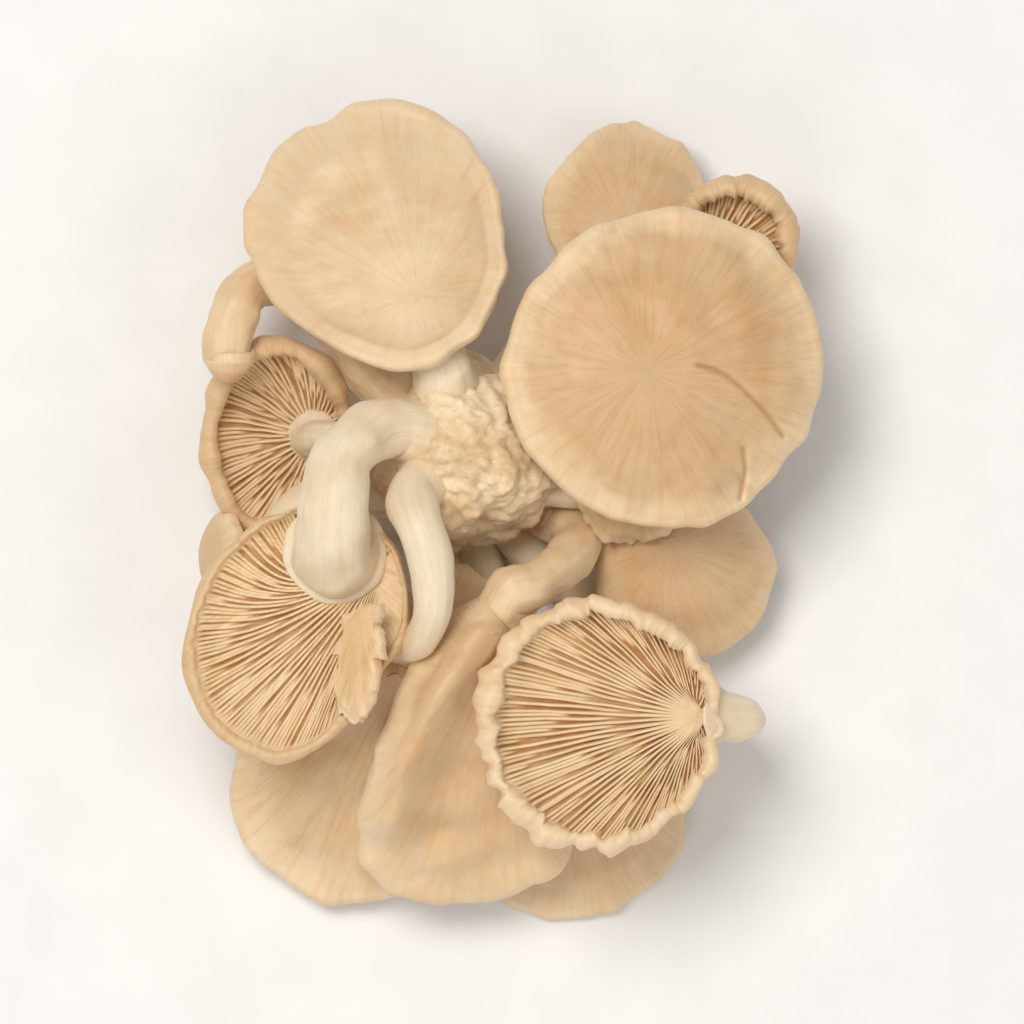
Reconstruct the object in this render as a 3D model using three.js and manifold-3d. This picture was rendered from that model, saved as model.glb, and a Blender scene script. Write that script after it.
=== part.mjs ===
// An oyster mushroom cluster, as picked: one cut base, and mushrooms on curved stems that fan out from it and
// lean over each other, some with their skin up and some turned over with their gills up. Millimetres, +Z up.
// The origin is at the middle of the whole cluster, on the surface that its cut face rests on.
import * as THREE from "three";
import { mergeVertices } from "three/addons/utils/BufferGeometryUtils.js";
import Module from "manifold-3d";

// Sizes that the whole cluster shares.
const SPREAD = [1, 1, 1]; // how far apart the mushrooms stand along X, Y and Z, against the places below
const GAP = 0.3; // left between pieces that touch
const RIM = 1.8; // thickness of every cap at its margin
const END_RUN = 0.45; // how far each end of a stem runs straight, as a share of its radius

// The base: its middle, its radii along X and Y and its height. foot is the radius of the cut face and waist
// the height of the widest ring, as shares of those.
const BASE = { centre: [-7, 12], radius: [18, 18], height: 40, foot: 0.8, waist: 0.42 };

// How finely each kind of piece is divided round its axis.
const CAP_SEGMENTS = 20;
const STEM_SEGMENTS = 10;
const BASE_SEGMENTS = 20;

// One section of a cap, from the middle of its skin round the inrolled margin to the hub, where the stem
// meets the gills. Each row is [share of the way out, height in the flesh, share of the margin's roll].
const CAP_ROWS = [
  [0, 1, 0],
  [0.22, 1, 0],
  [0.46, 1, 0],
  [0.68, 1, 0],
  [0.85, 1, 0.12],
  [0.96, 0.85, 0.45],
  [1, 0.5, 0.85],
  [0.97, 0, 1],
  [0.91, 0, 0.55],
  [0.8, 0, 0.12],
  [0.58, 0, 0],
  [0.33, 0, 0],
  [0, 0, 0],
];

// One section of a stem, from the hub to its root. Each row is [share of the length, share of the radius].
const STEM_ROWS = [
  [1, 0],
  [1, 0.85],
  [0.93, 1],
  [0.79, 1],
  [0.62, 1],
  [0.45, 1],
  [0.28, 1],
  [0.1, 1],
  [0, 0.85],
  [0, 0],
];

// Heights of the base's rings as shares of its height, from the top down. The last three lie in the cut face.
const BASE_ROWS = [1, 0.96, 0.86, 0.7, 0.5, 0.3, 0.12, 0, 0, 0];
const CUT_FACE = { 7: 1, 8: 0.5, 9: 0 }; // how far out from the middle each row of the cut face lies

// The mushrooms. hub is where the stem meets the gills, facing is where the skin looks, towards is where the
// cap is longest. reach, back and width are the cap's size from the hub, and fan is how much wider it gets
// towards its longest side. dome is how far the margin drops, roll how far it curls under, and flesh the
// thickness at the hub. ruffle is [waves, height]. Each lobe is [angle, half width, share outwards, lift].
// root is [azimuth, share of the height] on the base, or a place on another mushroom's stem. The stem passes
// through via, and its two radii are at the root and the hub. A lateral stem meets the cap's edge.
const GILLED_HUB = [-31.5, -6.5, 38]; // the flap lies on this cap too
const MUSHROOMS = [
  {
    name: "broad",
    hub: [27, 28, 43.5], facing: [0.12, -0.04, 1], towards: [1, 0.02, 0],
    reach: 34, back: 25, width: 58, fan: 0.05, dome: 6, roll: 1.6, flesh: 6.5, ruffle: [5, 0.7],
    lobes: [[-42, 14, -0.04, -1.2], [-75, 20, 0.02, 0.8]],
    root: [14, 0.6], via: [[19, 22.5, 31]], stem: [6.8, 7],
  },
  {
    name: "upper_left",
    hub: [-15.5, 41.5, 41], facing: [-0.1, 0.13, 1], towards: [-0.5, 0.87, 0],
    reach: 39.5, back: 11, width: 44.5, fan: 0.16, dome: 9, roll: 1.6, flesh: 6.5, ruffle: [4, 0.6],
    lobes: [[70, 30, 0.03, 0], [-60, 30, -0.04, 0]],
    root: [104, 0.78], via: [[-13, 33.5, 33.5]], stem: [5.4, 5.6],
  },
  {
    name: "gilled",
    hub: GILLED_HUB, facing: [0.05, 0.06, -1], towards: [-0.4, -0.92, 0],
    reach: 42, back: 8.6, width: 41, fan: 0.04, dome: 5, roll: 2.4, flesh: 5.5, ruffle: [5, 0.6],
    lobes: [[-72, 27, -0.18, 0], [180, 36, 0, 2.2]],
    root: [158, 0.84], via: [[-29.5, 12, 44.5], [-31.5, 2.5, 48.2]], stem: [5.8, 7.2],
  },
  {
    name: "spoon",
    hub: [-19.4, -29, 28], facing: [-0.14, -0.42, 1], towards: [-0.38, -0.92, -0.3],
    reach: 51, back: 2.5, width: 40, fan: 0.2, dome: 3.5, roll: 1.6, flesh: 4.5, ruffle: [4, 0.4],
    lobes: [],
    root: [216, 0.9], via: [[-16.8, 2.5, 46.5], [-13.6, -6.5, 48], [-12.6, -15, 46.4], [-14.8, -22.5, 41.5]],
    stem: [4.5, 2.8], lateral: true,
  },
  {
    name: "folded",
    hub: [-0.8, -21.5, 36.3], facing: [0.06, -0.36, 1], towards: [-0.13, -0.95, -0.25],
    reach: 56, back: 4, width: 42, fan: 0.18, dome: 2.5, roll: 3.2, flesh: 5, ruffle: [3, 0.4],
    lobes: [[-36, 24, 0.08, 2], [-98, 34, -0.16, 4.5]],
    root: [-35, 0.32], via: [[14.6, -2.6, 18], [13, -7.6, 28], [7.2, -12.6, 36.4]], stem: [4.6, 4.6], lateral: true,
  },
  {
    name: "right",
    hub: [31, -4.6, 19.6], facing: [0.18, -0.12, 1], towards: [0.6, -0.8, -0.15],
    reach: 25, back: 10, width: 33, fan: 0.08, dome: 4.5, roll: 1.5, flesh: 5, ruffle: [4, 0.5],
    lobes: [],
    root: [-8, 0.3], via: [[21, 4, 11], [29.5, -3, 13.5]], stem: [4.2, 4.4],
  },
  {
    name: "crimped",
    hub: [37, -38, 39.5], facing: [0.03, 0.05, -1], towards: [-1, -0.06, 0],
    reach: 41, back: 4, width: 46, fan: 0.06, dome: 3.5, roll: 3, flesh: 5, ruffle: [7, 0.8],
    lobes: [],
    root: [-58, 0.2], via: [[13, -13, 5.5], [30, -26.5, 5.6], [41, -37, 15], [44.5, -38.5, 28]],
    stem: [4.2, 4.2], lateral: true,
  },
  {
    name: "bottom",
    hub: [12, -44, 8.7], facing: [0, -0.06, 1], towards: [0.1, -1, 0],
    reach: 32, back: 12, width: 43, fan: 0.08, dome: 5, roll: 1.5, flesh: 5.5, ruffle: [5, 0.4],
    lobes: [[180, 36, 0, 1.2]],
    root: [-82, 0.14], via: [[-1, -20, 5], [8, -36, 3.7]], stem: [4.2, 3],
  },
  {
    name: "inner",
    hub: [-10.5, -17, 17], facing: [-0.1, -0.2, 1], towards: [0.05, -1, 0],
    reach: 12, back: 7, width: 21, fan: 0.05, dome: 4, roll: 1.2, flesh: 4.5, ruffle: [4, 0.4],
    lobes: [],
    root: [-104, 0.14], via: [[-10.5, -13, 6.5]], stem: [3.6, 3.6],
  },
  {
    name: "left_gilled",
    hub: [-36, 15.5, 17], facing: [0.12, 0.2, -1], towards: [-1, 0.06, 0],
    reach: 19.5, back: 6.4, width: 37, fan: 0.04, dome: 4, roll: 2.4, flesh: 5, ruffle: [4, 0.5],
    lobes: [[180, 40, 0, 2.4]],
    root: [174, 0.64], via: [[-31.5, 15, 26.5]], stem: [3.5, 3.5],
  },
  {
    name: "side",
    hub: [-52.7, -9.8, 18.2], facing: [-0.95, -0.2, 0.25], towards: [0.1, -0.1, -1],
    reach: 14, back: 9.5, width: 21.6, fan: 0.04, dome: 4, roll: 1.2, flesh: 4.5, ruffle: [4, 0.4],
    lobes: [],
    root: [200, 0.56], via: [[-35.5, 4, 29.5], [-43.3, -3.6, 24.8]], stem: [4.3, 3.6],
  },
  {
    name: "finger",
    hub: [-51.9, 31, 31], facing: [0.02, -1, -0.12], towards: [0, 0, 1],
    reach: 4.8, back: 4.8, width: 9.6, fan: 0, dome: 0.2, roll: 0.1, flesh: 5.4, ruffle: [3, 0.1],
    lobes: [],
    root: [140, 0.46], via: [[-33, 39, 17.5], [-43, 45, 21], [-50.3, 41, 28.5]], stem: [4.8, 4],
  },
  {
    name: "top",
    hub: [24, 53.5, 17.5], facing: [0, 0.2, 1], towards: [0.08, 1, 0],
    reach: 22.5, back: 12, width: 30, fan: 0.06, dome: 5, roll: 1.4, flesh: 5, ruffle: [5, 0.5],
    lobes: [],
    root: [60, 0.3], via: [[12, 40.5, 7.5], [22, 51, 10]], stem: [4, 4],
  },
  {
    name: "curled",
    hub: [39.5, 48, 23.5], facing: [0, 0, -1], towards: [0.75, 0.66, 0],
    reach: 18, back: 4, width: 22, fan: 0, dome: 3, roll: 2.6, flesh: 4, ruffle: [6, 0.5],
    lobes: [],
    root: { on: "broad", at: 0.4, side: [-0.3, 1, -0.24] }, via: [[27, 40, 32], [37, 47.5, 31.5]],
    stem: [2.8, 2.8],
  },
  {
    name: "tucked",
    hub: [25, 6, 31.5], facing: [0, -0.2, 1], towards: [0.12, -1, 0],
    reach: 11.5, back: 6, width: 21, fan: 0, dome: 3, roll: 1.4, flesh: 4, ruffle: [6, 0.7],
    lobes: [[150, 50, 0, 1.9]],
    root: [-22, 0.56], via: [[19, 5.5, 23.5]], stem: [2.6, 2.8],
  },
  {
    name: "flap",
    hub: [GILLED_HUB[0] + 6.3, GILLED_HUB[1] - 13, GILLED_HUB[2] + 6.2],
    facing: [-0.5, 0.1, 0.85], towards: [-0.12, -1, -0.12],
    reach: 20, back: 3, width: 9.5, fan: 0, dome: 1.5, roll: 0.6, flesh: 2.6, ruffle: [3, 0.3],
    lobes: [],
  },
];

const SKIN = { color: 0xd9b98e, roughness: 0.62, metalness: 0 };
const GILLED_SKIN = { color: 0xd2ad7c, roughness: 0.7, metalness: 0 };
const FLESH = { color: 0xeedfc4, roughness: 0.6, metalness: 0 };
const CUT = { color: 0xe2cda8, roughness: 0.8, metalness: 0 };

const vector = (xyz) => new THREE.Vector3(...xyz);
const place = (xyz) => vector(xyz).multiply(vector(SPREAD));
const smooth = (low, high, x) => THREE.MathUtils.smoothstep(x, low, high);

// A closed solid from rows of points: a sphere's grid with each point moved to what pointAt(row, angle) says.
function ringed(rows, segments, pointAt) {
  const geometry = new THREE.SphereGeometry(1, segments, rows - 1);
  const position = geometry.getAttribute("position");
  for (let row = 0; row < rows; row++)
    for (let i = 0; i <= segments; i++) {
      const { x, y, z } = pointAt(row, (2 * Math.PI * (i % segments)) / segments);
      position.setXYZ(row * (segments + 1) + i, x, y, z);
    }
  geometry.computeVertexNormals();
  return geometry;
}

// How far a cap's lobes push its margin outwards, as a share, and how far they lift it, at this angle.
function lobesAt(cap, angle) {
  const sum = { out: 0, lift: cap.ruffle[1] * Math.sin(cap.ruffle[0] * angle + cap.reach) };
  for (const [at, half, out, lift] of cap.lobes) {
    const turn = THREE.MathUtils.euclideanModulo(THREE.MathUtils.radToDeg(angle) - at, 360);
    const away = Math.min(turn, 360 - turn);
    const share = 1 - smooth(0, 2 * half, away);
    sum.out += out * share;
    sum.lift += lift * share;
  }
  return sum;
}

// The cap's own frame: X to its longest side, Z through the flesh to the skin, the hub at the origin.
function capFrame(cap) {
  const up = vector(cap.facing).normalize();
  const along = vector(cap.towards);
  along.addScaledVector(up, -along.dot(up)).normalize();
  return new THREE.Matrix4().makeBasis(along, up.clone().cross(along), up).setPosition(place(cap.hub));
}

function capGeometry(cap) {
  const frame = capFrame(cap);
  return ringed(CAP_ROWS.length, CAP_SEGMENTS, (row, angle) => {
    const [out, height, hook] = CAP_ROWS[row];
    const lobe = lobesAt(cap, angle);
    const x = (cap.reach - cap.back) / 2 + ((cap.reach + cap.back) / 2) * Math.cos(angle) * (1 + lobe.out);
    const y = (cap.width / 2) * Math.sin(angle) * (1 + lobe.out) * (1 + cap.fan * Math.cos(angle));
    const drop = cap.dome * ((out * Math.hypot(x, y)) / cap.reach) ** 2;
    const thickness = RIM + (cap.flesh - RIM) * (1 - out * out);
    const z = height * thickness - drop - hook * cap.roll + out * out * lobe.lift;
    return new THREE.Vector3(x * out, y * out, z).applyMatrix4(frame);
  });
}

// The base's radius at a share of its height, as a share of its full radius: a round top, a narrower foot.
function baseProfile(share) {
  const { waist, foot } = BASE;
  if (share >= waist) return Math.sqrt(Math.max(0, 1 - ((share - waist) / (1 - waist)) ** 2));
  return foot + (1 - foot) * Math.sqrt(1 - ((waist - share) / waist) ** 2);
}

const baseLumps = (angle) => 1 + 0.05 * Math.cos(3 * angle + 1) + 0.035 * Math.cos(5 * angle + 2.4);

function basePoint(angle, share, out = 1) {
  const r = baseProfile(share) * baseLumps(angle) * out;
  return new THREE.Vector3(
    SPREAD[0] * BASE.centre[0] + r * BASE.radius[0] * Math.cos(angle),
    SPREAD[1] * BASE.centre[1] + r * BASE.radius[1] * Math.sin(angle),
    share * BASE.height,
  );
}

function baseGeometry() {
  return ringed(BASE_ROWS.length, BASE_SEGMENTS, (row, angle) =>
    basePoint(angle, BASE_ROWS[row], CUT_FACE[row] ?? 1),
  );
}

// Where a stem starts, and which way it leaves: on the base, or on the side of a stem made before it.
function rootOf(mushroom, stems) {
  const { root } = mushroom;
  if (!Array.isArray(root)) {
    const parent = stems.get(root.on);
    const side = vector(root.side).normalize();
    const at = parent.curve.getPointAt(root.at).addScaledVector(side, parent.radiusAt(root.at) + 2 * GAP);
    return { at, leaves: side };
  }
  const step = 0.01;
  const angle = THREE.MathUtils.degToRad(root[0]);
  const at = basePoint(angle, root[1]);
  const round = basePoint(angle + step, root[1]).sub(at);
  const down = basePoint(angle, root[1] - step).sub(at);
  const leaves = down.cross(round).normalize();
  return { at: at.addScaledVector(leaves, 2 * GAP), leaves };
}

// A stem's centre line and radius. It meets the gills at the hub, or a lateral one meets the cap's near edge.
function stemOf(mushroom, stems) {
  const frame = capFrame(mushroom);
  const along = new THREE.Vector3().setFromMatrixColumn(frame, 0);
  const up = new THREE.Vector3().setFromMatrixColumn(frame, 2);
  const [rootRadius, hubRadius] = mushroom.stem;
  const arrives = mushroom.lateral ? along : up;
  const short = mushroom.lateral ? mushroom.back + 2 * GAP : 2 * GAP;
  const hub = place(mushroom.hub).addScaledVector(arrives, -short);
  if (mushroom.lateral) hub.addScaledVector(up, RIM / 2);
  const root = rootOf(mushroom, stems);
  const points = [root.at, root.at.clone().addScaledVector(root.leaves, rootRadius * END_RUN)];
  points.push(...mushroom.via.map(place));
  points.push(hub.clone().addScaledVector(arrives, -hubRadius * END_RUN), hub);
  return {
    curve: new THREE.CatmullRomCurve3(points),
    radiusAt: (t) => rootRadius + (hubRadius - rootRadius) * smooth(0.3, 1, t),
  };
}

function stemGeometry({ curve, radiusAt }) {
  const steps = 100;
  const frames = curve.computeFrenetFrames(steps);
  return ringed(STEM_ROWS.length, STEM_SEGMENTS, (row, angle) => {
    const [t, share] = STEM_ROWS[row];
    const r = radiusAt(t) * share;
    return curve
      .getPointAt(t)
      .addScaledVector(frames.normals[Math.round(t * steps)], r * Math.cos(angle))
      .addScaledVector(frames.binormals[Math.round(t * steps)], r * Math.sin(angle));
  });
}

const wasm = await Module();
wasm.setup();

// The geometry's points with the shared ones merged, each moved outwards by this much.
function grownPoints(geometry, by) {
  const points = new THREE.BufferGeometry().setIndex(geometry.index);
  const merged = mergeVertices(points.setAttribute("position", geometry.attributes.position), 1e-3);
  merged.computeVertexNormals();
  const { position, normal } = merged.attributes;
  for (let i = 0; i < position.count; i++)
    position.setXYZ(
      i,
      position.getX(i) + by * normal.getX(i),
      position.getY(i) + by * normal.getY(i),
      position.getZ(i) + by * normal.getZ(i),
    );
  return merged;
}

function solidOf(geometry) {
  const vertProperties = new Float32Array(geometry.attributes.position.array);
  const triVerts = new Uint32Array(geometry.index.array);
  return new wasm.Manifold(new wasm.Mesh({ numProp: 3, vertProperties, triVerts }));
}

function geometryOf(solid) {
  const { vertProperties, triVerts } = solid.getMesh();
  const geometry = new THREE.BufferGeometry().setIndex(new THREE.BufferAttribute(triVerts, 1));
  geometry.setAttribute("position", new THREE.BufferAttribute(vertProperties, 3)).computeVertexNormals();
  return geometry;
}

// A piece gives way where one that was made before it presses into it, and keeps the gap to it.
const made = [];
function pressed(geometry) {
  let solid = solidOf(grownPoints(geometry, 0));
  const pressing = made.filter(({ exact }) => solid.intersect(exact).volume() > 1e-3);
  made.push({ exact: solid, grown: solidOf(grownPoints(geometry, GAP)) });
  if (!pressing.length) return geometry;
  for (const { grown } of pressing) solid = solid.subtract(grown);
  const [largest] = solid.decompose().sort((a, b) => b.volume() - a.volume());
  return geometryOf(largest);
}

const cluster = new THREE.Group();

function add(name, geometry, finish) {
  const mesh = new THREE.Mesh(pressed(geometry), new THREE.MeshStandardMaterial(finish));
  mesh.name = name;
  cluster.add(mesh);
}

add("cut_base", baseGeometry(), CUT);
const stems = new Map();
for (const mushroom of MUSHROOMS) {
  add(mushroom.name + "_cap", capGeometry(mushroom), mushroom.facing[2] < -0.5 ? GILLED_SKIN : SKIN);
  if (!mushroom.root) continue;
  stems.set(mushroom.name, stemOf(mushroom, stems));
  add(mushroom.name + "_stem", stemGeometry(stems.get(mushroom.name)), FLESH);
}

const box = new THREE.Box3().setFromObject(cluster);
const middle = box.getCenter(new THREE.Vector3());
cluster.position.set(-middle.x, -middle.y, -box.min.z);

export default cluster;
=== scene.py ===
"""Looks for a cluster of oyster mushrooms: gilled caps with rolled margins, curved stems and a cut base."""

import math

import bmesh
import bpy
import numpy as np
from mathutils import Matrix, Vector


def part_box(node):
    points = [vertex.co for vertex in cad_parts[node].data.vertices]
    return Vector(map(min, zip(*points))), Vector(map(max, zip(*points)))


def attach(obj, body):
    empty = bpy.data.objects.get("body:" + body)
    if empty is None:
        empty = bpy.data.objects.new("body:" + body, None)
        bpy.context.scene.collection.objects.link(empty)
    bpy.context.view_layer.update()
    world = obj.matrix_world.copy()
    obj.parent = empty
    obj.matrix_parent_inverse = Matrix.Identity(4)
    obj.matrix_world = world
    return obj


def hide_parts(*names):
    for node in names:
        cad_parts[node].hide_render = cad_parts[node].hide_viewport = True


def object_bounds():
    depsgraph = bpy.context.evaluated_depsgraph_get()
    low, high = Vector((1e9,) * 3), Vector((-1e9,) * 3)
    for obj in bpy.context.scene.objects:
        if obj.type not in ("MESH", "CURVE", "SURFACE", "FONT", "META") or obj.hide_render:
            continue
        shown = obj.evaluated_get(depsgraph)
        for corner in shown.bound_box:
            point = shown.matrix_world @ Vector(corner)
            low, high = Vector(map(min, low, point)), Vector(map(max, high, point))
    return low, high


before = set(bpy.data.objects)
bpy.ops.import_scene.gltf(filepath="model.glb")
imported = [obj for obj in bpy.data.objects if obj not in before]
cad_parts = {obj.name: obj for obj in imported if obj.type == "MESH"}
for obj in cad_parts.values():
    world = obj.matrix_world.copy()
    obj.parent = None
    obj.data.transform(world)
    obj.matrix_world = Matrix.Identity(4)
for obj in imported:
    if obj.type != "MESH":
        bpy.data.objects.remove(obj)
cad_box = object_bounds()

MM = 0.001
TURN = 2 * math.pi

# Rows of a cap's CAD rings, counted from the middle of its skin. SEAM_ROW lies halfway between two rings.
SHOULDER_ROW = 4  # where the skin starts to turn over
MARGIN_ROW = 6  # the outermost ring
SEAM_ROW = 7.5  # where the gills begin, inside the rolled margin
BEAD_ROW = 7.35  # the top of the crimped bead beside the seam
BEAD_WIDTH = 0.32  # its half width, in rows
HUB_ROW = 12  # the middle of the gilled side, where the stem meets it
SKIN_ROW, GILL_ROW = 3, 10  # two rings nearly over each other, about the cap's thickness apart

# Rows of the base's CAD rings, counted from its top.
FOOT_ROW = 7  # round the cut face
CUT_ROW = 9  # the middle of the cut face

END_SHARE = 0.85  # radius of the CAD stems' end rings, as a share of the stems' own

# What each cap has, in millimetres and degrees. Its plan is the cap seen along its axis, from its hub.
#   spacing  gap between the gills at the margin
#   columns  mesh columns for each gill
#   rows     mesh rows over the skin, round the margin and along the gills
#   pole     where the gills converge in the plan
#   bow      how far the gills bow sideways in the plan
#   bald     the direction from the pole where there are no gills
#   depth    how deep the gills are
#   bead     height of the crimped bead round the gills
#   plump    how much fuller the margin is than the solid's
#   bumps    height of the skin's bumps
#   ripple   height and length of the ripples along the margin
#   look     slot of the skin
DEFAULT = dict(
    spacing=1.3, columns=4, rows=(56, 32, 44), pole=(0, 0), bow=0, bald=None, depth=1.1, bead=0.15,
    plump=0.4, bumps=0.4, ripple=(0.35, 9), look="cap_skin",
)
GILLS_UP = dict(columns=6, rows=(22, 16, 70), look="gilled_cap_skin")
CAPS = {
    "broad": dict(plump=1.2, ripple=(0.2, 12)),
    "upper_left": dict(plump=2.0, bumps=0.45, ripple=(0.12, 20)),
    "gilled": dict(
        GILLS_UP, spacing=0.9, pole=(-0.9, -9), bow=6, bald=-90, depth=0.9, bead=0.6, plump=0.1,
        ripple=(0.3, 10),
    ),
    "spoon": dict(plump=2.2, bumps=0.5, ripple=(0.2, 18)),
    "folded": dict(plump=1.9, bumps=0.6, ripple=(0.4, 12)),
    "right": dict(plump=0.6),
    "crimped": dict(GILLS_UP, spacing=0.95, depth=1.0, bead=0.8, plump=1.1, ripple=(0.9, 4.6)),
    "bottom": dict(plump=1.8, ripple=(0.25, 10)),
    "inner": dict(),
    "left_gilled": dict(GILLS_UP, spacing=0.9, depth=0.95, bead=0.4, plump=1.4, ripple=(0.3, 9)),
    "side": dict(ripple=(0.4, 4)),
    "finger": dict(spacing=1.2, depth=0, bead=0, bumps=0.3, ripple=(0.1, 6)),
    "top": dict(plump=0.8, ripple=(0.5, 7)),
    "curled": dict(GILLS_UP, spacing=1.0, depth=0.9, bead=1.0, plump=1.5, ripple=(0.6, 4.4)),
    "tucked": dict(plump=0.5, ripple=(0.9, 5)),
    "flap": dict(depth=0.3, plump=0.2, bumps=0.3, ripple=(1.0, 3)),
}

STRAY = 0.17  # how far gills stray sideways, as a share of the gap between them
ROOM = 1.3  # a short gill starts where its neighbours are this many gaps apart
GILL_EDGE, GILL_FOOT = 0.14, 0.52  # half widths of a gill at its edge and where it meets the flesh

MARGIN_SAMPLES, ROW_SAMPLES = 721, 241  # how finely a cap's plan is measured round it and inwards

# Ridges and creases in the skin of a cap: points as shares of the cap's box along X and Y, then height and
# half width in millimetres.
FOLDS = {
    "folded": [
        ([(0.53, 0.95), (0.45, 0.84), (0.3, 0.64), (0.17, 0.43), (0.1, 0.27)], 6, 4.4),
        ([(0.74, 0.9), (0.56, 0.68), (0.42, 0.44), (0.3, 0.2)], -0.9, 3),
        ([(0.6, 1.0), (0.68, 0.9), (0.82, 0.84)], -0.9, 0.9),
    ],
    "broad": [
        ([(0.61, 0.51), (0.68, 0.49), (0.75, 0.44), (0.83, 0.36), (0.89, 0.28)], -0.8, 0.5),
        ([(0.76, 0.24), (0.765, 0.17), (0.75, 0.08)], -0.9, 0.55),
    ],
    "upper_left": [([(0.5, 0.9), (0.25, 0.82), (0.14, 0.62), (0.15, 0.42), (0.28, 0.2)], 2.4, 5)],
    "spoon": [([(0.66, 0.9), (0.56, 0.66), (0.5, 0.45)], -0.8, 3.5)],
}

# Each stem: how far its hub end runs into the cap, that end's size across the cap and through its thickness
# as shares of the stem's own, how high its bumps are, and where it swells (share of its length, amount).
STEM_DEFAULT = dict(into=1.8, across=1.45, through=1.45, bumps=0.22, swells=[])
STEMS = {
    "gilled": dict(into=1.0, across=1.3, through=1.3, bumps=0.3, swells=[(0.2, 0.05), (0.02, 0.1)]),
    "spoon": dict(into=4.5, across=1.7, through=0.62, bumps=0.12, swells=[(0.12, 0.07), (0.75, 0.08)]),
    "folded": dict(into=7, across=1.25, through=0.7, bumps=0.3, swells=[(0.2, 0.04)]),
    "crimped": dict(into=3, across=1.3, through=0.55),
    "finger": dict(
        into=1.5, across=1, through=1, bumps=0.35, swells=[(0, 0.13), (0.08, 0.15), (0.18, 0.13), (0.3, 0.1)]
    ),
}
ROOT_DEPTH = 5  # how far a stem's root runs into the base
SWELL_LENGTH = 0.06  # half length of a swelling, as a share of the stem's

STEM_MESH = (110, 64)  # mesh rows along a stem and columns round it
BASE_MESH = (92, 14, 150)  # mesh rows down the base and across its cut face, and columns round it


# --------------------------------------------------------------------------------------- CAD surfaces


def welded(node):
    """A CAD node's points in millimetres and its triangles, with points that lie together merged."""
    mesh = bmesh.new()
    mesh.from_mesh(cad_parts[node].data)
    bmesh.ops.remove_doubles(mesh, verts=mesh.verts, dist=0.002 * MM)
    mesh.verts.index_update()
    points = np.array([v.co[:] for v in mesh.verts]) / MM
    triangles = [[v.index for v in face.verts] for face in mesh.faces]
    mesh.free()
    return points, triangles


def rings(node, cost):
    """A CAD node's points as rows of rings from one pole to the other, from the pole where cost is lower."""
    points, triangles = welded(node)
    after = [{} for _ in points]
    for a, b, c in triangles:
        after[a][b], after[b][c], after[c][a] = c, a, b
    poles = sorted(range(len(points)), key=lambda v: -len(after[v]))[:2]
    found = []
    for pole in poles:
        ring = [next(iter(after[pole]))]
        while len(ring) < len(after[pole]):
            ring.append(after[pole][ring[-1]])
        rows = [[pole] * len(ring)]
        used = {pole}
        while ring:
            rows.append(ring)
            used.update(ring)
            ring = [a for v in ring for a, b in after[v].items() if a not in used and b not in used]
        rows.append([sum(poles) - pole] * len(rows[0]))
        found.append(points[np.array(rows)])
    return min(found, key=cost)


def cap_rings(name):
    """A cap's rings, from the middle of its skin to its hub. They start closer together on the skin."""
    return rings(name + "_cap", lambda grid: np.linalg.norm(grid[1] - grid[0], axis=1).mean())


def axis_of(grid):
    """A cap's hub, and the way from there to the middle of its skin."""
    hub = grid[HUB_ROW, 0]
    up = grid[0, 0] - hub
    return hub, up / np.linalg.norm(up)


def between(p, q, r, s, f):
    """A smooth line through p, q, r and s, at the share f of the way from q to r."""
    return q + 0.5 * f * (r - p + f * (2 * p - 5 * q + 4 * r - s + f * (3 * (q - r) + s - p)))


class Surface:
    """A smooth closed surface through rows of rings. A place on it is a row and a column, or fractions."""

    def __init__(self, grid):
        half = grid.shape[1] // 2
        self.points = grid
        self.columns = grid.shape[1]
        self.last = len(grid) - 1
        padded = np.concatenate([np.roll(grid[1], half, 0)[None], grid, np.roll(grid[-2], half, 0)[None]])
        gaps = np.linalg.norm(np.diff(padded, axis=0), axis=2).mean(axis=1)[:, None, None]
        steps = np.diff(padded, axis=0) / gaps
        self.slopes = (steps[1:] * gaps[:-1] + steps[:-1] * gaps[1:]) / (gaps[1:] + gaps[:-1])
        self.gaps = gaps[1:-1, 0, 0]

    def _round(self, values, row, column):
        i = np.floor(column).astype(int)
        near = (values[row, (i + k) % self.columns] for k in (-1, 0, 1, 2))
        return between(*near, (column - i)[..., None])

    def at(self, row, column):
        row, column = np.broadcast_arrays(np.asarray(row, float), np.asarray(column, float))
        i = np.clip(np.floor(row).astype(int), 0, self.last - 1)
        f = (row - i)[..., None]
        gap = self.gaps[i][..., None]
        a, b = (self._round(self.points, end, column) for end in (i, i + 1))
        s, t = (self._round(self.slopes, end, column) for end in (i, i + 1))
        ends = (1 + 2 * f) * (1 - f) ** 2 * a + f * f * (3 - 2 * f) * b
        return ends + gap * f * (1 - f) * ((1 - f) * s - f * t)


def smooth(low, high, x):
    """From 0 at low to 1 at high, with soft ends."""
    t = np.clip((x - low) / (high - low), 0, 1)
    return t * t * (3 - 2 * t)


def ripples(points, size, seed, waves=14):
    """Smooth bumps of about this size in millimetres, from about -1 to 1, at each point."""
    rng = np.random.default_rng(seed)
    directions = rng.normal(size=(waves, 3))
    directions /= np.linalg.norm(directions, axis=1)[:, None]
    rates = TURN / (size * rng.uniform(0.75, 1.6, waves))
    phases = rng.uniform(0, TURN, waves)
    total = np.zeros(points.shape[:-1])
    for direction, rate, phase in zip(directions, rates, phases):
        total += np.sin(points @ direction * rate + phase)
    return total / math.sqrt(waves)


def normals(points):
    """Outward normals of rows of rings."""
    down = np.gradient(points, axis=0)
    beside = np.roll(points, -1, 1) - np.roll(points, 1, 1)
    normal = np.cross(down, beside)
    normal[0], normal[-1] = normal[1].mean(0), normal[-2].mean(0)
    return normal / np.maximum(np.linalg.norm(normal, axis=2), 1e-9)[..., None]


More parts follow.
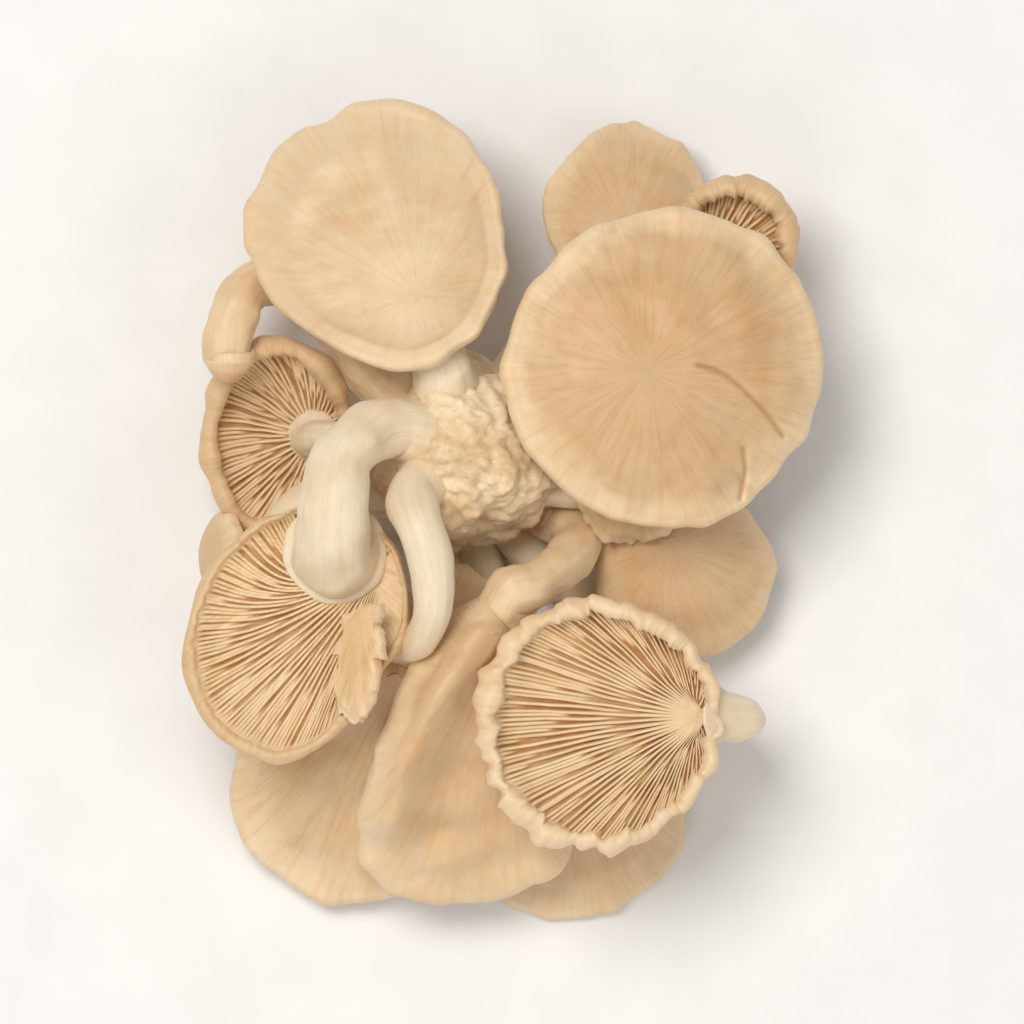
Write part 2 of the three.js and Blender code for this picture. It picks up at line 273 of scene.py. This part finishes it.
def from_line(points, line):
    """Distance in plan from each point to the line."""
    nearest = np.full(points.shape[:-1], np.inf)
    for a, b in zip(line[:-1], line[1:]):
        along = b - a
        away = points[..., :2] - a
        share = np.clip((away @ along) / (along @ along), 0, 1)
        nearest = np.minimum(nearest, np.linalg.norm(away - share[..., None] * along, axis=-1))
    return nearest


def rounded(corners, steps=6):
    """A smooth line through the corners."""
    corners = np.array(corners)
    ends = np.concatenate([[2 * corners[0] - corners[1]], corners, [2 * corners[-1] - corners[-2]]])
    spans = zip(ends, ends[1:], ends[2:], ends[3:])
    line = [between(*span, f) for span in spans for f in np.arange(steps) / steps]
    return np.array(line + [corners[-1]])


def fibres(angle, along, shape):
    """Coordinates for fibres: round the piece, as places on a circle, and along it."""
    return np.stack([np.broadcast_to(values, shape) for values in (np.cos(angle), np.sin(angle), along)], -1)


def mesh_piece(name, points, attributes, materials, second_from=None):
    """An object from rows of rings whose first and last rows are single points. Nothing reaches under the
    floor. Rows from second_from on take the second material."""
    rows, columns = points.shape[:2]
    points[..., 2] = np.maximum(points[..., 2], 0)
    inner = rows - 2
    index = 1 + np.arange(inner * columns).reshape(inner, columns)
    beside = np.roll(index, -1, 1)
    last = 1 + inner * columns
    quads = np.stack([index[:-1], index[1:], beside[1:], beside[:-1]], axis=2).reshape(-1, 4)
    top = np.stack([np.zeros(columns, int), index[0], beside[0]], axis=1)
    bottom = np.stack([index[-1], np.full(columns, last), beside[-1]], axis=1)
    corners = np.concatenate([top.ravel(), quads.ravel(), bottom.ravel()])
    counts = np.concatenate([np.full(columns, 3), np.full(len(quads), 4), np.full(columns, 3)])

    def flat(values):
        return np.concatenate([values[:1, 0], values[1:-1].reshape(-1, *values.shape[2:]), values[-1:, 0]])

    mesh = bpy.data.meshes.new(name)
    mesh.vertices.add(last + 1)
    mesh.vertices.foreach_set("co", (flat(points) * MM).ravel())
    mesh.loops.add(len(corners))
    mesh.loops.foreach_set("vertex_index", corners)
    mesh.polygons.add(len(counts))
    mesh.polygons.foreach_set("loop_start", np.concatenate([[0], np.cumsum(counts)[:-1]]))
    mesh.polygons.foreach_set("use_smooth", np.ones(len(counts), bool))
    if second_from is not None:
        slots = np.zeros(len(counts), int)
        slots[second_from * columns :] = 1
        mesh.polygons.foreach_set("material_index", slots)
    for key, values in attributes.items():
        kind, field = ("FLOAT", "value") if values.ndim == 2 else ("FLOAT_VECTOR", "vector")
        mesh.attributes.new(key, kind, "POINT").data.foreach_set(field, flat(values).ravel())
    mesh.update(calc_edges=True)
    mesh.validate()
    for material in materials:
        mesh.materials.append(material)
    piece = bpy.data.objects.new(name, mesh)
    bpy.context.scene.collection.objects.link(piece)
    return piece


# ---------------------------------------------------------------------------------------------- caps


class Cap:
    """A cap's smooth surface, and its plan."""

    def __init__(self, name):
        grid = cap_rings(name)
        self.hub, self.up = axis_of(grid)
        margin = self.flat(grid[MARGIN_ROW]) - self.hub
        longest = int(np.argmax(np.linalg.norm(margin, axis=1)))
        along = margin[longest] / np.linalg.norm(margin[longest])
        self.axes = np.array([along, np.cross(self.up, along)])
        self.surface = Surface(np.roll(grid, -longest, 1))
        self.thickness = np.linalg.norm(grid[SKIN_ROW] - grid[GILL_ROW], axis=1).mean()

        # The margin's column, distance and angle, and the gilled side's rows and how far out they lie.
        self.column = np.linspace(0, self.surface.columns, MARGIN_SAMPLES)
        edge = self.outline(self.column)
        self.radius = np.linalg.norm(edge, axis=1)
        self.angle = np.unwrap(np.arctan2(edge[:, 1], edge[:, 0]))
        self.length = np.linalg.norm(np.diff(edge, axis=0), axis=1).sum()
        self.row = np.linspace(MARGIN_ROW, HUB_ROW, ROW_SAMPLES)
        self.out = self.how_far_out(self.row)

    def flat(self, points):
        """The points moved along the axis to the height of the hub."""
        return points - ((points - self.hub) @ self.up)[..., None] * self.up

    def outline(self, column):
        """The margin's places in the plan."""
        return (self.surface.at(MARGIN_ROW, column) - self.hub) @ self.axes.T

    def how_far_out(self, row):
        """How far out the rows lie in the plan, as shares of the margin's distance."""
        return np.linalg.norm((self.surface.at(row, 0) - self.hub) @ self.axes.T, axis=1) / self.radius[0]

    def under(self, spots):
        """The row and column of places in the plan, on the gilled side, with their angle and their share of
        the way to the margin."""
        turn = np.arctan2(spots[..., 1], spots[..., 0])
        turn = self.angle[0] + (turn - self.angle[0]) % TURN
        share = np.linalg.norm(spots, axis=-1) / np.interp(turn, self.angle, self.radius)
        return np.interp(-share, -self.out, self.row), np.interp(turn, self.angle, self.column), turn, share


def gill_starts(out, apart, spacing, rng):
    """How much of the way out each gill starts. The oldest come from the pole, and each of the others starts
    where the older ones beside it have spread far enough."""
    count = apart.shape[1]
    gap = np.resize([0, 2, 4, 2], count) * apart
    wide = gap > ROOM * spacing * rng.uniform(0.8, 1.2, count)
    never = 1.5
    starts = np.append(out[:, 0], never)[wide.sum(axis=0) - 1]
    starts[::4] = -1
    return starts


def blades(phase, apart, out, starts):
    """How close each point of the gilled side is to the edge of a gill, from 0 in a valley to 1."""
    nearest = np.round(phase).astype(int)
    blade = np.zeros_like(apart)
    for k in range(-3, 4):
        start = starts[(nearest + k) % len(starts)]
        awake = smooth(start - 0.02, start + 0.12, out)
        away = np.abs(phase - nearest - k) * apart
        blade = np.maximum(blade, awake * (1 - smooth(GILL_EDGE, GILL_FOOT, away)))
    return blade


def gilled_side(solid, cap, phase, stray, rng, seed):
    """The points under a cap, their rows, shares and angles, and how deep in a valley between gills each is.
    Each mesh column runs from the seam to where the gills converge."""
    columns = cap["columns"]
    gill = solid.surface.columns * columns / len(phase)
    out = (1 - np.linspace(0, 1, cap["rows"][2])[1:] ** 1.15)[:, None]
    turned = phase * columns / len(phase) * TURN
    sway = 0.5 * np.sin(out * 8 + 3 * np.sin(5 * turned))
    sway = sway + 0.22 * np.sin(out * 21 + 5 * np.sin(7 * turned + 1))
    sway = sway * (1 - out) * np.minimum(1, 2 * out)
    lines = (phase + stray * (0.4 + 0.6 * out) + sway) * gill
    pole = np.array(cap["pole"])
    ends = solid.outline(lines) * np.interp(SEAM_ROW, solid.row, solid.out)
    spots = pole + (ends - pole) * out[..., None]
    facing = np.arctan2(ends[..., 1] - pole[1], ends[..., 0] - pole[0])
    spots[..., 0] += cap["bow"] * np.sin(np.pi * out) * np.maximum(0, np.sin(facing)) ** 1.5
    row, column, turn, share = solid.under(spots)
    points = solid.surface.at(row, column)

    apart = np.linalg.norm(np.roll(spots, -1, 1) - spots, axis=-1) * columns
    starts = gill_starts(out, apart[:, ::columns], cap["spacing"], rng)
    valley = 1 - blades(phase, apart, out, starts)
    bare = 0
    if cap["bald"] is not None:
        bare = smooth(0.05, 0.45, np.cos(facing - math.radians(cap["bald"])))
    gilled = smooth(0, 0.06, 1 - out) * smooth(0, 0.12, out) * (1 - bare)
    deep = min(cap["depth"], 0.5 * solid.thickness) * gilled * (1 + 0.18 * ripples(points, 6, seed + 2))
    wander = 0.1 * ripples(points, 2.5, seed + 3)  # the gills' edges don't lie quite level
    points = points + solid.up * (deep * valley + wander)[..., None]
    return points, row, share, turn, valley * gilled


def cap_points(name, cap, seed):
    """A cap's points, the row that its gills start from, and what its materials need at each point."""
    solid = Cap(name)
    count = 4 * max(6, round(solid.length / cap["spacing"] / 4))
    phase = np.arange(count * cap["columns"]) / cap["columns"]  # how many gills round each column lies
    rng = np.random.default_rng(seed)
    stray = rng.normal(0, STRAY, count)
    stray = np.interp(phase, np.arange(count + 1), np.append(stray, stray[0]))

    # The skin, from its middle over the margin to the seam.
    over, round_margin, _ = cap["rows"]
    rows = [np.linspace(0, SHOULDER_ROW, over)[:-1], np.linspace(SHOULDER_ROW, SEAM_ROW, round_margin)]
    rows = np.concatenate(rows)[:, None]
    column = (phase + stray * smooth(MARGIN_ROW, SEAM_ROW, rows)) * solid.surface.columns / count
    skin = solid.surface.at(rows, column)
    under, under_rows, under_shares, under_turns, valley = gilled_side(solid, cap, phase, stray, rng, seed)

    def both(on_skin, on_gills):
        return np.concatenate([np.broadcast_to(on_skin, skin.shape[:2]), on_gills])

    points = np.concatenate([skin, under])
    places = both(rows, under_rows)
    shares = both(solid.how_far_out(rows[:, 0])[:, None], under_shares)
    turns = both(np.interp(phase * solid.surface.columns / count, solid.column, solid.angle), under_turns)
    points, crease, rim = shaped(name, cap, solid, points, places, shares, seed)
    # crease places painted shade in the skin's creases, and valley places painted shade between the gills.
    attributes = dict(crease=crease, rim=rim, share=shares, valley=both(0.0, valley))
    attributes["fibre"] = fibres(turns, shares, shares.shape)
    return points, len(skin), attributes


def shaped(name, cap, solid, points, places, shares, seed):
    """The points with bumps, folds and a plump and rippled margin, and how much crease and rim each has."""
    normal = normals(points)
    on_skin = 1 - smooth(MARGIN_ROW - 0.5, SEAM_ROW, places)
    rim = smooth(SHOULDER_ROW + 0.2, MARGIN_ROW - 0.4, places)
    rim = rim * (1 - smooth(MARGIN_ROW + 1.2, SEAM_ROW + 0.6, places))
    bead = np.exp(-(((places - BEAD_ROW) / BEAD_WIDTH) ** 2))
    height, length = cap["ripple"]
    flat = solid.flat(points)
    wavy = ripples(flat, length, seed + 4) * 0.75 + ripples(flat, length / 2.3, seed + 5) * 0.35
    lift = 0.55 * ripples(flat, length * 1.4, seed + 6)
    outwards = flat - solid.hub
    outwards /= np.maximum(np.linalg.norm(outwards, axis=-1), 1e-6)[..., None]
    near_edge = height * smooth(0.72, 1.0, shares)[..., None]
    points = points + near_edge * (outwards * wavy[..., None] + solid.up * lift[..., None])

    bumps = cap["bumps"] * (ripples(points, 12, seed + 7) + 0.15 * ripples(points, 4, seed + 8))
    bumps = bumps * on_skin + cap["plump"] * rim * (1 + 0.25 * ripples(points, 8, seed + 9))
    bumps = bumps + cap["bead"] * bead * (0.7 + 0.4 * ripples(flat, 1.7, seed + 10))
    points, crease = folded(name, points + normal * bumps[..., None], on_skin)
    return points, crease, np.maximum(0.6 * rim, bead)


def folded(name, points, on_skin):
    """The points with the cap's ridges and creases raised and sunk, and how far in a crease each is, which
    sets the painted shade there.
    """
    crease = np.zeros(points.shape[:2])
    low, high = (np.array(corner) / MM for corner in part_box(name + "_cap"))
    for corners, height, width in FOLDS.get(name, []):
        line = rounded([low[:2] + np.array(c) * (high - low)[:2] for c in corners])
        near = np.exp(-((from_line(points, line) / width) ** 2))
        fade = 0.35 + 0.65 * on_skin if height > 0 else on_skin
        points = points + np.array([0, 0, 1]) * (height * near * fade)[..., None]
        # Sunk creases also get painted shade in their colour, stronger in the narrow ones.
        if height < 0:
            crease = np.maximum(crease, near * on_skin / max(1, width))
    return points, crease


# ---------------------------------------------------------------------------------------------- stems


def stem_end(ring, centre, up, inwards, length, across, through):
    """An end ring of a stem, at its full width, moved on by this length and stretched by these shares across
    the cap and through its thickness."""
    spokes = (ring - centre) / END_SHARE
    side = np.cross(up, inwards)
    side /= max(np.linalg.norm(side), 1e-6)
    thick = np.cross(inwards, side)
    stretched = spokes + np.outer(spokes @ side, side) * (across - 1)
    stretched += np.outer(stretched @ thick, thick) * (through - 1)
    return centre + inwards * length + stretched


def stem_rings(grid, up, stem):
    """A CAD stem's rings, with its ends drawn out into the cap and the base."""

    def inwards(near, far):
        away = grid[near].mean(0) - grid[far].mean(0)
        return away / np.linalg.norm(away)

    def at_hub(length, across, through):
        return stem_end(grid[1], hub, up, into, length, across, through)

    def at_root(length, wide):
        return stem_end(grid[-2], root, up, rooted, length, wide, wide)

    hub, root = grid[0, 0], grid[-1, 0]
    into, rooted = inwards(1, 2), inwards(-2, -3)
    across, through, deep = stem["across"], stem["through"], stem["into"]
    return np.array([
        np.tile(hub + into * deep, (grid.shape[1], 1)),
        at_hub(deep, across * 0.75, through * 0.75),
        at_hub(deep * 0.6, across, through),
        at_hub(0, (1 + across) / 2, (1 + through) / 2),
        *grid[2:-2],
        at_root(0, 1.08),
        at_root(ROOT_DEPTH / 2, 1.16),
        at_root(ROOT_DEPTH, 0.9),
        np.tile(root + rooted * ROOT_DEPTH, (grid.shape[1], 1)),
    ])


def stem_points(name, stem, seed):
    """A stem's points and what its material needs at each point."""
    hub, up = axis_of(cap_rings(name))
    grid = rings(name + "_stem", lambda grid: np.linalg.norm(grid[0, 0] - hub))
    surface = Surface(stem_rings(grid, up, stem))
    rows, columns = STEM_MESH
    turns = np.arange(columns) / columns
    points = surface.at(np.linspace(0, surface.last, rows)[:, None], turns * surface.columns)
    middle = points.mean(1)
    length = np.concatenate([[0], np.cumsum(np.linalg.norm(np.diff(middle, axis=0), axis=1))])[:, None]
    share = length / length[-1]
    radius = np.linalg.norm(points - middle[:, None], axis=2).mean(1)[:, None]
    swell = sum(amount * np.exp(-(((share - at) / SWELL_LENGTH) ** 2)) for at, amount in stem["swells"])
    flutes = ripples(9 * fibres(turns * TURN, length / 36, points.shape[:2]), 5, seed)
    bumps = ripples(points, 8, seed + 1) + 0.35 * flutes + 0.3 * ripples(points, 3, seed + 2)
    points = points + normals(points) * (stem["bumps"] * bumps + swell * radius)[..., None]
    fibre = fibres(turns * TURN, length / 12, points.shape[:2])
    return points, dict(fibre=fibre)


# ----------------------------------------------------------------------------------------------- base


def base_points(seed):
    """The base's points and what its material needs at each: a ragged, lumpy clump over a flat cut face."""
    surface = Surface(rings("cut_base", lambda grid: -grid[0, 0, 2]))
    down, across, columns = BASE_MESH
    rows = [np.linspace(0, FOOT_ROW, down), np.linspace(FOOT_ROW, CUT_ROW, across)[1:]]
    rows = np.concatenate(rows)[:, None]
    turns = np.arange(columns) / columns
    points = surface.at(rows, turns * surface.columns)
    height = points[..., 2:]
    clumps = np.abs(np.sin(turns * TURN * 3.5 + 0.8 * np.sin(height[..., 0] / 9))) ** 0.6 - 0.6
    bumps = 1.5 * clumps * smooth(0.3, 2, rows) + 0.9 * ripples(points, 8, seed)
    bumps += 0.45 * ripples(points, 3.2, seed + 1) + 0.22 * ripples(points, 1.5, seed + 2)
    bumps *= 1 - smooth(FOOT_ROW - 0.4, FOOT_ROW, rows)
    # Near the floor the bumps only reach sideways.
    ways = np.concatenate([np.ones_like(height), np.ones_like(height), smooth(0, 3, height)], axis=-1)
    points = points + normals(points) * ways * bumps[..., None]
    points[..., 2] = np.maximum(points[..., 2], 0)
    points[..., 2] += np.abs(ripples(points, 2.2, seed + 3)) * 0.25 * smooth(FOOT_ROW, FOOT_ROW + 0.4, rows)
    ones = np.ones(points.shape[:2])
    fibre = fibres(turns * TURN, points[..., 2] / 12, points.shape[:2])
    return points, dict(fibre=fibre, cut=ones * smooth(FOOT_ROW - 0.2, FOOT_ROW, rows))


# ------------------------------------------------------------------------------------------ materials


def colour(red, green, blue):
    """A colour given in sRGB from 0 to 255."""
    return (*(((c / 255 + 0.055) / 1.055) ** 2.4 for c in (red, green, blue)), 1)


class Nodes:
    """A material's node tree, with short ways to add to it."""

    def __init__(self, name, **principled):
        self.material = bpy.data.materials.new(name)
        self.material.use_nodes = True
        self.tree = self.material.node_tree
        self.shader = self.tree.nodes["Principled BSDF"]
        for key, value in principled.items():
            self.shader.inputs[key.replace("_", " ")].default_value = value

    def add(self, kind, output=0, settings=(), **inputs):
        """Adds a node and gives one of its outputs. Inputs go by name, or by number as i0, i1 and so on."""
        node = self.tree.nodes.new("ShaderNode" + kind)
        for key, value in dict(settings).items():
            setattr(node, key, value)
        for key, value in inputs.items():
            key = key.replace("_", " ")
            self.put(node.inputs[int(key[1:])] if key[1:].isdigit() else node.inputs[key], value)
        return node.outputs[output]

    def put(self, socket, value):
        if isinstance(value, bpy.types.NodeSocket):
            self.tree.links.new(value, socket)
        else:
            socket.default_value = value

    def attribute(self, name, output="Fac"):
        return self.add("Attribute", output, dict(attribute_name=name))

    def stretched(self, vector, scale):
        return self.add("Mapping", Vector=vector, Scale=scale)

    def noise(self, vector, scale, detail=3, roughness=0.5):
        return self.add("TexNoise", "Fac", Vector=vector, Scale=scale, Detail=detail, Roughness=roughness)

    def ramp(self, value, low, high, out_low=0, out_high=1):
        settings = dict(interpolation_type="SMOOTHSTEP")
        return self.add("MapRange", 0, settings, Value=value, i1=low, i2=high, i3=out_low, i4=out_high)

    def mix(self, factor, a, b, blend="MIX"):
        return self.add("Mix", 2, dict(data_type="RGBA", blend_type=blend), i0=factor, i6=a, i7=b)

    def tint(self, factor, tone, by):
        """The colour, multiplied by another where the factor is high."""
        return self.mix(factor, tone, self.mix(1.0, tone, colour(*by), "MULTIPLY"))

    def times(self, a, b):
        return self.add("Math", 0, dict(operation="MULTIPLY"), i0=a, i1=b)

    def plus(self, a, b):
        return self.add("Math", 0, dict(operation="ADD"), i0=a, i1=b)

    def finish(self, tone, bumps):
        """Sets the colour and stacks the bumps, each a height, a strength and a distance in millimetres."""
        self.tree.links.new(tone, self.shader.inputs["Base Color"])
        normal = None
        for height, strength, distance in bumps:
            inputs = dict(Height=height, Strength=strength, Distance=distance * MM)
            if normal:
                inputs["Normal"] = normal
            normal = self.add("Bump", **inputs)
        self.tree.links.new(normal, self.shader.inputs["Normal"])
        return self.material


FLESH_GLOW = dict(Subsurface_Weight=0.15, Subsurface_Scale=0.003, Subsurface_Radius=(1, 0.75, 0.52))


def skin_look(name, middle, margin, streaks):
    """Suede-like skin: radial fibres, darker blotches in the middle, a paler margin and painted shade in the
    creases.
    """
    n = Nodes(name, Roughness=0.5, Sheen_Weight=0.12, Sheen_Roughness=0.4, **FLESH_GLOW)
    here = n.add("TexCoord", "Object")
    fibre = n.attribute("fibre", "Vector")
    cloud = n.noise(here, 70, 4, 0.6)
    grain = n.noise(here, 420, 4, 0.6)
    fine = n.noise(here, 1500, 4, 0.65)
    coarse_streaks = n.noise(n.stretched(fibre, (11, 11, 2.4)), 1, 4, 0.6)
    fine_streaks = n.noise(n.stretched(fibre, (34, 34, 4)), 1, 3, 0.6)
    edge = n.ramp(n.plus(n.attribute("share"), n.ramp(cloud, 0.3, 0.7, -0.12, 0.12)), 0.72, 1.02)
    tone = n.mix(edge, colour(*middle), colour(*margin))
    dark = n.tint(n.ramp(cloud, 0.38, 0.72, 0, 0.5), tone, (242, 216, 180))
    streaked = n.tint(n.ramp(coarse_streaks, 0.42, 0.72, 0, streaks), dark, (232, 196, 150))
    lined = n.tint(n.ramp(fine_streaks, 0.48, 0.75, 0, streaks), streaked, (232, 202, 160))
    speckled = n.tint(n.ramp(fine, 0.5, 0.8, 0, 0.3), lined, (234, 208, 172))
    worn = n.mix(n.times(n.attribute("rim"), 0.3), speckled, colour(*margin))
    # Painted shade: the skin is darkened towards brown along the sunk creases, most in the narrow ones.
    painted_crease_shade = n.mix(n.ramp(n.attribute("crease"), 0.25, 1, 0, 0.6), worn, colour(184, 138, 88))
    bumps = [(coarse_streaks, 0.25, 0.4), (fine_streaks, 0.3, 0.2), (grain, 0.35, 0.35), (fine, 0.45, 0.12)]
    return n.finish(painted_crease_shade, bumps)


def gill_look(name, blade, valley, margin):
    """Gills: pale thin edges over valleys darkened with painted shade, with a pale margin."""
    n = Nodes(name, Roughness=0.58, Sheen_Weight=0.06, **FLESH_GLOW)
    here = n.add("TexCoord", "Object")
    cloud = n.noise(here, 110, 4, 0.6)
    fine = n.noise(here, 1700, 3, 0.6)
    streak = n.noise(n.stretched(n.attribute("fibre", "Vector"), (40, 40, 2)), 1, 3, 0.6)
    edge = n.tint(n.ramp(streak, 0.35, 0.7, 0, 0.6), colour(*blade), (236, 210, 174))
    # Painted shade: the valleys between the gills take the darker valley colour, blended in by how deep in a
    # valley each point is.
    deep = n.tint(n.ramp(cloud, 0.3, 0.7), colour(*valley), (226, 196, 160))
    gills = n.mix(n.ramp(n.attribute("valley"), 0.1, 0.85), edge, deep)
    pale = n.mix(n.times(n.attribute("rim"), 0.9), gills, colour(*margin))
    return n.finish(pale, [(streak, 0.25, 0.2), (fine, 0.35, 0.1)])


def stem_look(name, tone, shade):
    """Smooth cream flesh with fibres that run along the stem."""
    n = Nodes(name, Roughness=0.5, Sheen_Weight=0.08, **FLESH_GLOW)
    here = n.add("TexCoord", "Object")
    fibre = n.attribute("fibre", "Vector")
    cloud = n.noise(here, 90, 4, 0.6)
    fine = n.noise(here, 1500, 3, 0.6)
    lines = n.noise(n.stretched(fibre, (5, 5, 1.2)), 1, 5, 0.65)
    threads = n.noise(n.stretched(fibre, (16, 16, 2)), 1, 3, 0.6)
    base = n.mix(n.ramp(cloud, 0.35, 0.7, 0, 0.8), colour(*tone), colour(*shade))
    lined = n.tint(n.ramp(lines, 0.45, 0.75, 0, 0.3), base, (230, 202, 162))
    threaded = n.tint(n.ramp(threads, 0.5, 0.8, 0, 0.3), lined, (234, 210, 178))
    return n.finish(threaded, [(lines, 0.2, 0.3), (threads, 0.2, 0.15), (fine, 0.35, 0.1)])


def base_look(name):
    """Fuzzy grown-together flesh, with a darker, fibrous cut face."""
    n = Nodes(name, Roughness=0.75, Sheen_Weight=0.2, Sheen_Roughness=0.5, **FLESH_GLOW)
    here = n.add("TexCoord", "Object")
    cloud = n.noise(here, 130, 5, 0.65)
    fuzz = n.noise(here, 900, 5, 0.7)
    tone = n.mix(n.ramp(cloud, 0.35, 0.7), colour(242, 222, 186), colour(220, 186, 138))
    cut = n.mix(n.ramp(fuzz, 0.35, 0.7), colour(232, 204, 160), colour(190, 148, 100))
    both = n.mix(n.attribute("cut"), tone, cut)
    fuzzed = n.tint(n.ramp(fuzz, 0.45, 0.75, 0, 0.45), both, (226, 194, 150))
    return n.finish(fuzzed, [(cloud, 0.6, 1.2), (fuzz, 0.6, 0.35)])


# --------------------------------------------------------------------------------------------- pieces

SKINS = {
    "cap_skin": skin_look("suede_skin", (216, 184, 142), (232, 208, 170), 0.25),
    "gilled_cap_skin": skin_look("pale_skin", (212, 176, 130), (218, 188, 146), 0.25),
}
OWN_SKINS = {
    "broad": skin_look("broad_skin", (212, 178, 134), (234, 210, 172), 0.3),
    "upper_left": skin_look("smooth_skin", (224, 198, 160), (232, 208, 172), 0.2),
    "spoon": skin_look("striped_skin", (222, 192, 150), (236, 214, 178), 0.35),
    "crimped": skin_look("crimped_skin", (218, 186, 142), (234, 210, 174), 0.3),
    "flap": skin_look("flap_skin", (226, 196, 152), (236, 214, 178), 0.45),
}
# The second colour is painted shade for the valleys between the gills.
GILLS = gill_look("gills", (234, 208, 168), (202, 164, 116), (230, 204, 164))
STEM_FLESH = stem_look("stem_flesh", (236, 220, 192), (228, 206, 170))
NECK_FLESH = stem_look("neck_flesh", (230, 204, 164), (216, 182, 138))
NECKS = ("folded", "finger")  # stems that have the caps' colour
BASE_FLESH = base_look("base_flesh")


def mounted(piece, node):
    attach(piece, "root")
    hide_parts(node)


for number, (name, differences) in enumerate(CAPS.items()):
    cap = {**DEFAULT, **differences}
    seed = 100 * (number + 1)
    points, gills_from, attributes = cap_points(name, cap, seed)
    skin = OWN_SKINS.get(name, SKINS[cap["look"]])
    piece = mesh_piece("mushroom_" + name, points, attributes, [skin, GILLS], gills_from)
    mounted(piece, name + "_cap")
    if name + "_stem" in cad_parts:
        points, attributes = stem_points(name, {**STEM_DEFAULT, **STEMS.get(name, {})}, seed + 50)
        flesh = NECK_FLESH if name in NECKS else STEM_FLESH
        mounted(mesh_piece("stalk_" + name, points, attributes, [flesh]), name + "_stem")

points, attributes = base_points(seed=7)
mounted(mesh_piece("clump", points, attributes, [BASE_FLESH]), "cut_base")

# ---------------------------------------------------------------------------- floor, light and camera

low, high = (Vector(corner) for corner in cad_box)
centre = (low + high) / 2


def floor():
    """A plain pale floor under the cluster."""
    half = 3
    mesh = bpy.data.meshes.new("floor")
    corners = [(-half, -half, 0), (half, -half, 0), (half, half, 0), (-half, half, 0)]
    mesh.from_pydata(corners, [], [(0, 1, 2, 3)])
    n = Nodes("floor_paint", Roughness=0.8)
    grain = n.noise(n.add("TexCoord", "Object"), 60, 3, 0.5)
    tone = n.mix(n.ramp(grain, 0.3, 0.7), colour(240, 238, 235), colour(236, 234, 231))
    mesh.materials.append(n.finish(tone, [(grain, 0.1, 0.1)]))
    plane = bpy.data.objects.new("floor", mesh)
    bpy.context.scene.collection.objects.link(plane)


def lamp(name, place, size, watts, tint=(1, 1, 1)):
    """A soft square lamp at this place from the middle of the cluster, which it looks at."""
    light = bpy.data.lights.new(name, "AREA")
    light.size = size
    light.energy = watts
    light.color = tint
    lit = bpy.data.objects.new(name, light)
    lit.location = centre + Vector(place)
    lit.rotation_euler = (-Vector(place)).to_track_quat("-Z", "Y").to_euler()
    bpy.context.scene.collection.objects.link(lit)


def sky(strength):
    """Even white light from all round."""
    world = bpy.data.worlds.new("studio")
    world.use_nodes = True
    background = world.node_tree.nodes["Background"]
    background.inputs["Color"].default_value = (1, 1, 1, 1)
    background.inputs["Strength"].default_value = strength
    bpy.context.scene.world = world


floor()
lamp("key", (-0.35, 0.4, 1.25), size=0.6, watts=12.5, tint=(1, 0.985, 0.96))
lamp("fill", (0.9, -0.5, 0.9), size=1.0, watts=3.5)
lamp("front", (-0.3, -1.1, 0.7), size=0.9, watts=3.5)
sky(0.36)
bpy.context.scene.view_settings.view_transform = "Standard"

# The camera looks straight down from this far above the caps, a little to the side of the cluster's middle.
# It shows this width at the height of the caps.
DISTANCE = 2.0
CAP_HEIGHT = 0.035
OFFSET = Vector((0.0020, 0.00025, 0))
SHOWN_WIDTH = 0.1946
SENSOR = 36
camera = bpy.data.objects.new("camera", bpy.data.cameras.new("camera"))
camera.data.sensor_width = SENSOR
camera.data.lens = SENSOR * DISTANCE / SHOWN_WIDTH
camera.location = Vector((centre.x, centre.y, CAP_HEIGHT + DISTANCE)) + OFFSET
bpy.context.scene.collection.objects.link(camera)
bpy.context.scene.camera = camera
